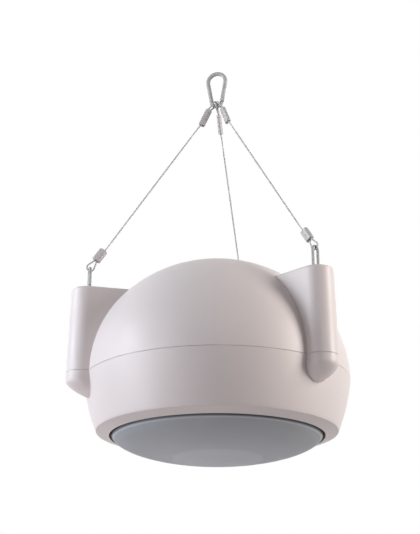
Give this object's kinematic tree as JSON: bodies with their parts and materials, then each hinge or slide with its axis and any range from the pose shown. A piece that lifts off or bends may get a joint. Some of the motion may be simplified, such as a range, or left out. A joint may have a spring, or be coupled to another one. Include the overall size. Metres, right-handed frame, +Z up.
{
  "type": "pendant speaker",
  "caption": "Round domed pendant loudspeaker that faces the floor, hung by wire-rope legs from eyebolts on its lobes up to one spring snap hook.",
  "frame": {"origin": "inside of the snap hook's crown, where the hook rests on what the speaker hangs from", "axes": "+Z up along the speaker's axis; one lobe points along +Y, and the hook's gate is on the +X side"},
  "size_m": [0.362, 0.3858, 0.5894],
  "materials": {
    "enclosure": "satin",
    "grille": "satin",
    "board": "matt",
    "black_plastic": "satin",
    "laminate": "satin",
    "black_steel": "satin",
    "zinc": "zinc plated",
    "wire_rope": "galvanised",
    "sleeve": "crimped",
    "paper": "matt",
    "rubber": "matt",
    "cloth": "woven",
    "ferrite": "matt",
    "transformer_steel": "varnished",
    "copper": "enamelled",
    "felt": "felted",
    "titanium": "satin"
  },
  "bodies": {
    "pendant": {"upper_shell": "enclosure", "lower_shell": "enclosure", "grille": "grille", "baffle": "board", "port_tube_1": "black_plastic", "port_tube_2": "black_plastic", "tweeter_body": "black_plastic", "crossover_capacitor": "black_plastic", "terminal_cup": "black_plastic", "terminal_block": "laminate", "crossover_board": "laminate", "woofer_basket": "black_steel", "baffle_screw_1": "black_steel", "baffle_screw_2": "black_steel", "baffle_screw_3": "black_steel", "baffle_screw_4": "black_steel", "woofer_screw_1": "black_steel", "woofer_screw_2": "black_steel", "woofer_screw_3": "black_steel", "woofer_screw_4": "black_steel", "top_plate": "zinc", "back_plate": "zinc", "tweeter_post": "zinc", "shell_screw_1": "zinc", "shell_screw_2": "zinc", "shell_screw_3": "zinc", "eyebolt_1": "zinc", "eyebolt_2": "zinc", "eyebolt_3": "zinc", "washer_1": "zinc", "washer_2": "zinc", "washer_3": "zinc", "nut_1": "zinc", "nut_2": "zinc", "nut_3": "zinc", "snap_hook": "zinc", "gate_rivet": "zinc", "rope_leg_1": "wire_rope", "rope_leg_2": "wire_rope", "rope_leg_3": "wire_rope", "lower_sleeve_1": "sleeve", "lower_sleeve_2": "sleeve", "lower_sleeve_3": "sleeve", "upper_sleeve_1": "sleeve", "upper_sleeve_2": "sleeve", "upper_sleeve_3": "sleeve", "surround": "rubber", "frame_gasket": "rubber", "internal_lead": "rubber", "spider": "cloth", "ring_magnet": "ferrite", "transformer_core": "transformer_steel", "transformer_coil": "copper", "crossover_inductor": "copper", "felt_lining": "felt", "tweeter_dome": "titanium"},
    "hook_gate": {"hook_gate": "zinc"},
    "woofer_cone": {"woofer_cone": "paper", "voice_coil": "copper"},
    "selector_knob": {"selector_knob": "black_plastic"}
  },
  "joints": [
    {"name": "gate_hinge", "type": "hinge", "parent": "pendant", "child": "hook_gate", "pos_m": [0.00827, 0, -0.04204], "axis": [0, -1, 0], "range_deg": [0, 28], "stiffness_Nm_per_rad": 0.02, "springref_deg": -20.05},
    {"name": "cone_travel", "type": "slide", "parent": "pendant", "child": "woofer_cone", "axis": [0, 0, 1], "range_m": [-0.004, 0.004], "stiffness_N_per_m": 1500, "deforming": ["surround", "spider"]},
    {"name": "tap_turn", "type": "hinge", "parent": "pendant", "child": "selector_knob", "pos_m": [0, 0.017, -0.33755], "axis": [0, 0, 1], "range_deg": [-120, 120]}
  ]
}
